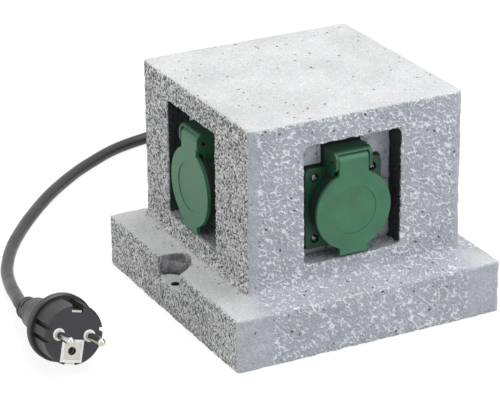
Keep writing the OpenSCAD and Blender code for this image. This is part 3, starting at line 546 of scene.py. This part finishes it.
def carve_stone():
    stone = bpy.data.objects.new("stone", stone_with_foot())
    bpy.context.collection.objects.link(stone)
    net = stone.modifiers.new("even net", "REMESH")
    net.mode = "VOXEL"
    net.voxel_size = VOXEL
    soften = stone.modifiers.new("soft edges", "SMOOTH")
    soften.iterations = SOFT_EDGES
    marks = stone.modifiers.new("marks", "NODES")
    marks.node_group = carving_tree()
    shown = stone.evaluated_get(bpy.context.evaluated_depsgraph_get())
    mesh = bpy.data.meshes.new_from_object(shown)
    stone.modifiers.clear()
    stone.data = mesh
    mesh.polygons.foreach_set("use_smooth", [True] * len(mesh.polygons))
    return stone


stone = carve_stone()
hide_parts("stone_body")
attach(stone, "block")
print("Carved stone:", len(stone.data.polygons), "faces")

# %% [markdown]
# ## The stone's finish
#
# Cast stone is crushed limestone bound with white cement. It is dull and nearly neutral, grey in its pits and
# chalky on its ridges, with painted shade deepening the pits and painted highlight lightening the streaks.
# Edges are worn white: the shader's pointiness is high where the surface bends outwards, so it finds them.
# The colour follows the same marks that were carved, with the painted highlights and groove shadows of the
# left side and the back. The windows' reveals are dark charcoal, partly their own colour and partly painted
# shade in the recess, and surfaces facing up keep only a quarter of it, a painted light on the sills. The
# notches' walls and the screw holes under them get painted shade. Grain finer than a millimetre breaks up
# every face.

# %% Cast stone
STONE_LEVEL = "#CDCDCB"
STONE_GROUND = "#AFB2B9"
# Light streaks on the front and the right: chalky ridges, lightened further as painted highlight.
STREAK_CHALK_AND_HIGHLIGHT = "#ECEEF2"
# The left side and the back: ground and streaks painted lighter as highlight, and groove shadows painted dark.
SIDE_GROUND_HIGHLIGHT = "#DCDDDD"
SIDE_STREAK_HIGHLIGHT = "#FFFFFE"
GROOVE_SHADOW = "#4F5151"
# Painted shade on the notches' upright walls and in the screw holes under them.
NOTCH_WALL_SHADE = "#3F3E43"
HOLE_SHADE = "#24221E"
# Pits: grey in the stone, darkened further as painted shade.
PIT_GREY_AND_SHADE = "#4A4B4B"
STONE_WORN = "#F2F2F1"
# Window reveals: dark charcoal, partly painted shade in the recess.
REVEAL_CHARCOAL_AND_SHADE = "#2C2E30"
STREAK_WIDTH = 0.11
GRAIN_STEP = 0.8 * MM
STAIN_STEP = 30 * MM
RELIEF = 0.5 * MM
HOLE_AT = (83 * MM, 2.5 * MM)
HOLE_R = 3 * MM
NOTCH_FLOOR = 20 * MM


# Where painted shade goes: the notches' walls and the screw holes.
def notch_parts(tree, where, normal):
    """1 on the notches' upright walls, and 1 in the screw holes under them."""
    split = add(tree, "ShaderNodeSeparateXYZ", {0: where})
    away_x = add(tree, "ShaderNodeMath", {0: split.outputs[0]}, operation="ABSOLUTE")
    folded = add(tree, "ShaderNodeCombineXYZ", {0: away_x, 1: split.outputs[1], 2: 0.0})
    parts = []
    for middle, reach in ((NOTCH_AT, NOTCH_R), (HOLE_AT, HOLE_R)):
        away = add(tree, "ShaderNodeVectorMath", {0: folded, 1: (*middle, 0.0)}, operation="DISTANCE")
        within = {0: away.outputs["Value"], 1: reach, 2: reach + 0.6 * MM, 3: 1.0, 4: 0.0}
        parts.append(add(tree, "ShaderNodeMapRange", within, **SMOOTH))
    tilt = add(tree, "ShaderNodeSeparateXYZ", {0: normal})
    upright = add(tree, "ShaderNodeMapRange", {0: tilt.outputs[2], 1: 0.5, 2: 0.8, 3: 1.0, 4: 0.0}, **SMOOTH)
    below = {0: split.outputs[2], 1: NOTCH_FLOOR - 1.2 * MM, 2: NOTCH_FLOOR - 0.4 * MM, 3: 1.0, 4: 0.0}
    sunk = add(tree, "ShaderNodeMapRange", below, **SMOOTH)
    above = add(tree, "ShaderNodeMath", {0: upright, 1: sunk}, operation="SUBTRACT", use_clamp=True)
    wall = add(tree, "ShaderNodeMath", {0: parts[0], 1: above}, operation="MULTIPLY")
    hole = add(tree, "ShaderNodeMath", {0: parts[1], 1: sunk}, operation="MULTIPLY")
    return wall, hole


def cast_stone():
    material, tree, shader, where = start_material("cast stone", STONE_LEVEL, 0.9, IOR=1.5)
    surface = add(tree, "ShaderNodeNewGeometry")
    marks = stone_marks(tree, where, surface.outputs["Normal"], STREAK_WIDTH)
    # On the left side and the back the ground and streaks get the painted highlight colours, the groove
    # shadows the painted shadow.
    plain = {0: marks["pits_and_painted_light"], 6: linear(STONE_GROUND), 7: linear(SIDE_GROUND_HIGHLIGHT)}
    ground = add(tree, "ShaderNodeMix", plain, **MIX).outputs[2]
    lined = {0: marks["pits_and_painted_light"], 6: linear(STREAK_CHALK_AND_HIGHLIGHT), 7: linear(SIDE_STREAK_HIGHLIGHT)}
    streak = add(tree, "ShaderNodeMix", lined, **MIX).outputs[2]
    colour = add(tree, "ShaderNodeMix", {0: marks["sides"], 6: linear(STONE_LEVEL), 7: ground}, **MIX)
    colour = add(tree, "ShaderNodeMix", {0: marks["streaks"], 6: colour, 7: streak}, **MIX)
    colour = add(tree, "ShaderNodeMix", {0: marks["groove_shadows"], 6: colour, 7: linear(GROOVE_SHADOW)}, **MIX)
    colour = add(tree, "ShaderNodeMix", {0: marks["pits"], 6: colour, 7: linear(PIT_GREY_AND_SHADE)}, **MIX)
    grain = add(tree, "ShaderNodeTexNoise",
                {"Vector": where, "Scale": 1 / GRAIN_STEP, "Detail": 3.0, "Roughness": 0.6})
    stain = add(tree, "ShaderNodeTexNoise", {"Vector": where, "Scale": 1 / STAIN_STEP, "Detail": 3.0})
    light = add(tree, "ShaderNodeMath", {0: stain.outputs[0], 1: 0.4, 2: grain.outputs[0]},
                operation="MULTIPLY_ADD")
    shade = add(tree, "ShaderNodeMapRange", {0: light, 1: 0.5, 2: 0.9, 3: 0.8, 4: 1.1}, **SMOOTH)
    speckled = add(tree, "ShaderNodeVectorMath", {0: colour, "Scale": shade}, operation="SCALE")
    # Painted shade: the reveals' charcoal, then the notches' walls and the screw holes.
    painted = add(tree, "ShaderNodeMix", {0: marks["reveal"], 6: speckled, 7: linear(REVEAL_CHARCOAL_AND_SHADE)}, **MIX)
    wall, hole = notch_parts(tree, where, surface.outputs["Normal"])
    painted = add(tree, "ShaderNodeMix", {0: wall, 6: painted, 7: linear(NOTCH_WALL_SHADE)}, **MIX)
    painted = add(tree, "ShaderNodeMix", {0: hole, 6: painted, 7: linear(HOLE_SHADE)}, **MIX)
    worn = add(tree, "ShaderNodeMapRange", {0: surface.outputs["Pointiness"], 1: 0.53, 2: 0.6}, **SMOOTH)
    edged = add(tree, "ShaderNodeMix", {0: worn, 6: painted, 7: linear(STONE_WORN)}, **MIX)
    tree.links.new(edged.outputs[2], shader.inputs["Base Color"])
    height = add(tree, "ShaderNodeMath", {0: marks["streaks"], 1: marks["pits"]}, operation="SUBTRACT")
    height = add(tree, "ShaderNodeMath", {0: height, 1: marks["groove_shadows"]}, operation="SUBTRACT")
    relief = add(tree, "ShaderNodeMath", {0: grain.outputs[0], 1: 0.6, 2: height}, operation="MULTIPLY_ADD")
    bump = add(tree, "ShaderNodeBump", {"Height": relief, "Distance": RELIEF, "Strength": 1.0})
    tree.links.new(bump.outputs[0], shader.inputs["Normal"])
    return material


paint(cast_stone(), stone)

# %% [markdown]
# ## Moulded plastics and rubbers
#
# Lids, hoods and flanges are moulded in polypropylene, seals and cord in rubber, and the plug in soft PVC. A
# steel mould with a spark-eroded surface leaves a fine even grain, and handling leaves cloudy patches that
# are a little smoother. One recipe makes them all: it takes the colour, the gloss, and the grain's real size.

# %% Moulded materials
CLOUD_STEP = 14 * MM


def moulded(name, base, roughness, grain_step, grain_depth, cloud=0.12, **others):
    """Plastic or rubber from a mould: even grain, and clouds that change its tone and gloss."""
    material, tree, shader, where = start_material(name, base, roughness, **others)
    grain = add(tree, "ShaderNodeTexNoise", {"Vector": where, "Scale": 1 / grain_step, "Detail": 2.0})
    clouds = add(tree, "ShaderNodeTexNoise", {"Vector": where, "Scale": 1 / CLOUD_STEP, "Detail": 3.0})
    tone = add(tree, "ShaderNodeMapRange", {0: clouds, 1: 0.3, 2: 0.7, 3: 1 - cloud, 4: 1 + cloud}, **SMOOTH)
    speck = add(tree, "ShaderNodeMapRange", {0: grain, 1: 0.35, 2: 0.65, 3: 0.96, 4: 1.04}, **SMOOTH)
    both = add(tree, "ShaderNodeMath", {0: tone, 1: speck}, operation="MULTIPLY")
    colour = add(tree, "ShaderNodeVectorMath", {0: linear(base)[:3], "Scale": both}, operation="SCALE")
    rubbed = {0: clouds, 1: 0.3, 2: 0.7, 3: roughness - 0.06, 4: roughness + 0.08}
    gloss = add(tree, "ShaderNodeMapRange", rubbed, **SMOOTH)
    bump = add(tree, "ShaderNodeBump", {"Height": grain.outputs[0], "Distance": grain_depth, "Strength": 0.5})
    tree.links.new(colour.outputs[0], shader.inputs["Base Color"])
    tree.links.new(gloss.outputs[0], shader.inputs["Roughness"])
    tree.links.new(bump.outputs[0], shader.inputs["Normal"])
    return material


lid_green = moulded("moulded polypropylene, green", "#386F50", 0.42, 0.5 * MM, 0.02 * MM, IOR=1.49)
# The socket's green is the lid's green darkened: painted shade for the hood, flange and insert in the window
# recess.
shaded_socket_green = moulded("moulded polypropylene, green with painted shade", "#27543B", 0.45, 0.5 * MM, 0.02 * MM, IOR=1.49)
black_rubber = moulded("moulded rubber, black", "#151616", 0.75, 0.4 * MM, 0.03 * MM, IOR=1.52)
black_plastic = moulded("moulded ABS, black", "#2A2B2D", 0.5, 0.6 * MM, 0.03 * MM, IOR=1.54)
cream_plastic = moulded("moulded polyamide, cream", "#DCD8C9", 0.4, 0.5 * MM, 0.02 * MM, 0.05, IOR=1.53)
white_plastic = moulded("moulded polyamide, white", "#F0EFEC", 0.35, 0.5 * MM, 0.01 * MM, 0.03, IOR=1.53)
cord_rubber = moulded("extruded rubber, charcoal", "#161615", 0.36, 0.7 * MM, 0.04 * MM, IOR=1.52)
brown_sheath = moulded("extruded PVC, brown", "#5B3420", 0.4, 0.5 * MM, 0.01 * MM, IOR=1.53)
blue_sheath = moulded("extruded PVC, blue", "#2B5C9E", 0.4, 0.5 * MM, 0.01 * MM, IOR=1.53)

for side in SIDES:
    paint(lid_green, nodes[f"lid_{side}"])
    paint(shaded_socket_green, nodes[f"socket_body_{side}"], nodes[f"socket_insert_{side}"])
    paint(black_rubber, nodes[f"gasket_{side}"], nodes[f"lid_seal_{side}"])
paint(black_rubber, nodes["bottom_seal"])
paint(black_plastic, nodes["bottom_plate"], nodes["cord_clamp"], nodes["coil_tie"])
paint(cream_plastic, nodes["terminal_block"])
paint(white_plastic, nodes["plug_bridge"])
paint(cord_rubber, cord, nodes["supply_cord"])
paint(brown_sheath, nodes["live_wires"])
paint(blue_sheath, nodes["neutral_wires"])

# %% [markdown]
# The earth core's sheath is green with a yellow stripe along it. The stripes run along the wire, so bands
# across one direction of space are enough to show both colours on every core.

# %% Earth core sheath
EARTH_GREEN = "#3F8A3C"
EARTH_YELLOW = "#D9C53A"
STRIPE_STEP = 1.1 * MM


def earth_sheath():
    name = "extruded PVC, green and yellow"
    material, tree, shader, where = start_material(name, EARTH_GREEN, 0.4, IOR=1.53)
    split = add(tree, "ShaderNodeSeparateXYZ", {0: where})
    slant = add(tree, "ShaderNodeMath", {0: split.outputs[0], 1: split.outputs[1]}, operation="ADD")
    wave = add(tree, "ShaderNodeMath", {0: slant, 1: STRIPE_STEP}, operation="PINGPONG")
    stripe = add(tree, "ShaderNodeMapRange", {0: wave, 1: 0.5 * MM, 2: 0.6 * MM}, **SMOOTH)
    colours = {0: stripe, 6: linear(EARTH_GREEN), 7: linear(EARTH_YELLOW)}
    colour = add(tree, "ShaderNodeMix", colours, **MIX)
    tree.links.new(colour.outputs[2], shader.inputs["Base Color"])
    return material


paint(earth_sheath(), nodes["earth_wires"])

# %% [markdown]
# ## The inner box
#
# Behind each window stands the inner box's wall, the panel that carries the socket. It is a glass-filled
# moulding, grey with a touch of violet, with dark and light specks of fibre and filler as large as a
# millimetre. Two noises, one dark and one light, give the specks.

# %% Speckled moulding
PANEL_GREY = "#C8CBD3"
PANEL_DARK = "#7D7C84"
PANEL_LIGHT = "#D6D8DC"
SPECK_STEP = 1.4 * MM
BLOT_STEP = 5 * MM


def speckled_moulding():
    material, tree, shader, where = start_material("glass-filled moulding, grey", PANEL_GREY, 0.7, IOR=1.55)
    specks = add(tree, "ShaderNodeTexNoise", {"Vector": where, "Scale": 1 / SPECK_STEP, "Detail": 3.0})
    blots = add(tree, "ShaderNodeTexNoise", {"Vector": where, "Scale": 1 / BLOT_STEP, "Detail": 3.0})
    dark = add(tree, "ShaderNodeMapRange", {0: blots, 1: 0.52, 2: 0.68}, **SMOOTH)
    light = add(tree, "ShaderNodeMapRange", {0: specks, 1: 0.5, 2: 0.66}, **SMOOTH)
    base = add(tree, "ShaderNodeMix", {0: dark, 6: linear(PANEL_GREY), 7: linear(PANEL_DARK)}, **MIX)
    colour = add(tree, "ShaderNodeMix", {0: light, 6: base, 7: linear(PANEL_LIGHT)}, **MIX)
    bump = add(tree, "ShaderNodeBump", {"Height": specks.outputs[0], "Distance": 0.1 * MM, "Strength": 0.6})
    tree.links.new(colour.outputs[2], shader.inputs["Base Color"])
    tree.links.new(bump.outputs[0], shader.inputs["Normal"])
    return material


paint(speckled_moulding(), nodes["inner_box"])

# %% [markdown]
# ## The plug
#
# The plug is overmoulded in soft PVC. Its back is black, and the flat face that meets a socket is a harder
# insert, black with a touch of violet. The face is the part of the surface that lies further along the plug's
# axis than the moulded edge, so the distance along that axis tells the shader where it is. The plug begins
# where the cord's route ends, and it leans on its rim with its face tilted up.

# %% Plug moulding
PLUG_BLACK = "#202120"
PLUG_FACE = "#2C2A30"
PLUG_TILT = math.radians(9.5)
PLUG_TURN = math.radians(1)
PLUG_AXIS = Vector((
    math.sin(PLUG_TURN) * math.cos(PLUG_TILT),
    -math.cos(PLUG_TURN) * math.cos(PLUG_TILT),
    math.sin(PLUG_TILT),
))
PLUG_LENGTH = 70 * MM
PLUG_FACE_AT = PLUG_AXIS.dot(Vector(route[-1])) + PLUG_LENGTH


def plug_moulding():
    material = moulded("overmoulded soft PVC, black", PLUG_BLACK, 0.48, 0.6 * MM, 0.04 * MM, IOR=1.53)
    tree = material.node_tree
    shader = tree.nodes["Principled BSDF"]
    where = add(tree, "ShaderNodeTexCoord").outputs["Object"]
    along = add(tree, "ShaderNodeVectorMath", {0: where, 1: PLUG_AXIS}, operation="DOT_PRODUCT")
    face = {0: along.outputs["Value"], 1: PLUG_FACE_AT - 0.4 * MM, 2: PLUG_FACE_AT - 0.1 * MM}
    on_face = add(tree, "ShaderNodeMapRange", face, **SMOOTH)
    body = shader.inputs["Base Color"].links[0].from_socket
    colour = add(tree, "ShaderNodeMix", {0: on_face, 6: body, 7: linear(PLUG_FACE)}, **MIX)
    tree.links.new(colour.outputs[2], shader.inputs["Base Color"])
    return material


paint(plug_moulding(), nodes["plug_body"], nodes["cord_boot"])

# %% [markdown]
# ## Metals
#
# The hinge pins are drawn brass tube, and the contacts are brass too. The plug's pins and the earth contacts
# are nickel-plated brass, and the flange's screws are blackened steel with a domed, shiny head. The lid
# springs and the steel screws inside and underneath are zinc plated. A metal's colour is its mirror colour, so
# only that and the roughness change. Fine scratches come from noise that varies the roughness.

# %% Metals
def worked_metal(name, base, roughness, scratch_step, scratch_depth):
    """Bare or plated metal: its own colour in the mirror, with fine scratches."""
    material, tree, shader, where = start_material(name, base, roughness, Metallic=1.0)
    scratches = add(tree, "ShaderNodeTexNoise", {"Vector": where, "Scale": 1 / scratch_step, "Detail": 4.0})
    rubbed = {0: scratches, 1: 0.35, 2: 0.65, 3: roughness * 0.7, 4: roughness * 1.4}
    gloss = add(tree, "ShaderNodeMapRange", rubbed, **SMOOTH)
    tarnish = add(tree, "ShaderNodeMapRange", {0: scratches, 1: 0.3, 2: 0.7, 3: 0.85, 4: 1.05}, **SMOOTH)
    colour = add(tree, "ShaderNodeVectorMath", {0: linear(base)[:3], "Scale": tarnish}, operation="SCALE")
    bump = add(tree, "ShaderNodeBump",
               {"Height": scratches.outputs[0], "Distance": scratch_depth, "Strength": 0.4})
    tree.links.new(colour.outputs[0], shader.inputs["Base Color"])
    tree.links.new(gloss.outputs[0], shader.inputs["Roughness"])
    tree.links.new(bump.outputs[0], shader.inputs["Normal"])
    return material


brass = worked_metal("drawn brass", "#D6A85C", 0.25, 0.8 * MM, 0.01 * MM)
nickel = worked_metal("nickel plate", "#CFCBC2", 0.16, 0.9 * MM, 0.005 * MM)
black_steel = worked_metal("blackened steel", "#77797E", 0.18, 0.7 * MM, 0.01 * MM)
zinc = worked_metal("zinc-plated steel", "#B9BCC0", 0.35, 0.7 * MM, 0.01 * MM)

for side in SIDES:
    paint(brass, nodes[f"hinge_pin_{side}"], nodes[f"contacts_{side}"])
    paint(nickel, nodes[f"earth_clip_{side}"])
    paint(zinc, nodes[f"lid_spring_{side}"])
paint(brass, nodes["terminal_screws"])
paint(nickel, nodes["plug_pins"], nodes["plug_earth_contacts"])
paint(black_steel, nodes["flange_screws"])
paint(zinc, nodes["bottom_screws"], nodes["inner_box_screws"], nodes["cord_clamp_screws"])

# %% [markdown]
# ## Floor and light
#
# The object was shot on white paper in soft light: a large softbox overhead makes the level faces brightest,
# a cool one lights the front and a weak one the left side. The floor and the sky look white to the camera and
# in reflections, while they light the object only moderately. The floor still takes some of the object's
# shadow.

# %% Floor
FLOOR_SIZE = 8.0
FLOOR_SHADOW = 0.25
FLOOR_GLOW = 1.18
PAPER = "#D2D2D2"


def make_floor():
    mesh = bpy.data.meshes.new("floor")
    h = FLOOR_SIZE / 2
    mesh.from_pydata([(-h, -h, 0), (h, -h, 0), (h, h, 0), (-h, h, 0)], [], [(0, 1, 2, 3)])
    floor = bpy.data.objects.new("floor", mesh)
    bpy.context.collection.objects.link(floor)
    material = bpy.data.materials.new("white paper")
    material.use_nodes = True
    tree = material.node_tree
    tree.nodes.clear()
    seen = seen_rays(tree)
    paper = add(tree, "ShaderNodeBsdfDiffuse", {"Color": linear(PAPER)})
    bright = add(tree, "ShaderNodeEmission", {"Color": (1, 1, 1, 1), "Strength": FLOOR_GLOW})
    white = add(tree, "ShaderNodeMixShader", {0: 1 - FLOOR_SHADOW, 1: paper, 2: bright})
    shown = add(tree, "ShaderNodeMixShader", {0: seen, 1: paper, 2: white})
    add(tree, "ShaderNodeOutputMaterial", {0: shown})
    mesh.materials.append(material)


def seen_rays(tree):
    """1 for rays that show the background: straight from the camera, mirrored, or through glass."""
    path = add(tree, "ShaderNodeLightPath")
    seen = path.outputs["Is Camera Ray"]
    for name in ("Is Glossy Ray", "Is Transmission Ray"):
        seen = add(tree, "ShaderNodeMath", {0: seen, 1: path.outputs[name]}, operation="MAXIMUM").outputs[0]
    return seen


make_floor()

# %% Sky and lamps
SKY_STRENGTH = 0.45
SKY_GLOW = 1.05
LAMPS = {
    "softbox overhead": ((0.25, -0.1, 1.7), 1.5, 25.0, "#FFFFFF"),
    "softbox left": ((-1.8, -0.2, 0.9), 1.0, 7.5, "#FFFFFF"),
    "softbox front": ((0.9, -1.7, 1.1), 1.0, 12.0, "#E6F0FF"),
}
LAMP_AIM = Vector((0.0, 0.0, 0.06))


def make_sky():
    world = bpy.data.worlds.new("white room")
    bpy.context.scene.world = world
    world.use_nodes = True
    tree = world.node_tree
    tree.nodes.clear()
    soft = add(tree, "ShaderNodeBackground", {"Color": (1, 1, 1, 1), "Strength": SKY_STRENGTH})
    white = add(tree, "ShaderNodeBackground", {"Color": (1, 1, 1, 1), "Strength": SKY_GLOW})
    sky = add(tree, "ShaderNodeMixShader", {0: seen_rays(tree), 1: soft, 2: white})
    add(tree, "ShaderNodeOutputWorld", {0: sky})


def make_lamps():
    for name, (at, size, power, tint) in LAMPS.items():
        data = bpy.data.lights.new(name, "AREA")
        data.shape = "DISK"
        data.size = size
        data.energy = power
        data.color = linear(tint)[:3]
        lamp = bpy.data.objects.new(name, data)
        lamp.location = at
        lamp.rotation_euler = (LAMP_AIM - Vector(at)).to_track_quat("-Z", "Y").to_euler()
        bpy.context.collection.objects.link(lamp)
        print(f"{name}: {power} W, {size} m across")


make_sky()
make_lamps()
bpy.context.scene.view_settings.view_transform = "Standard"
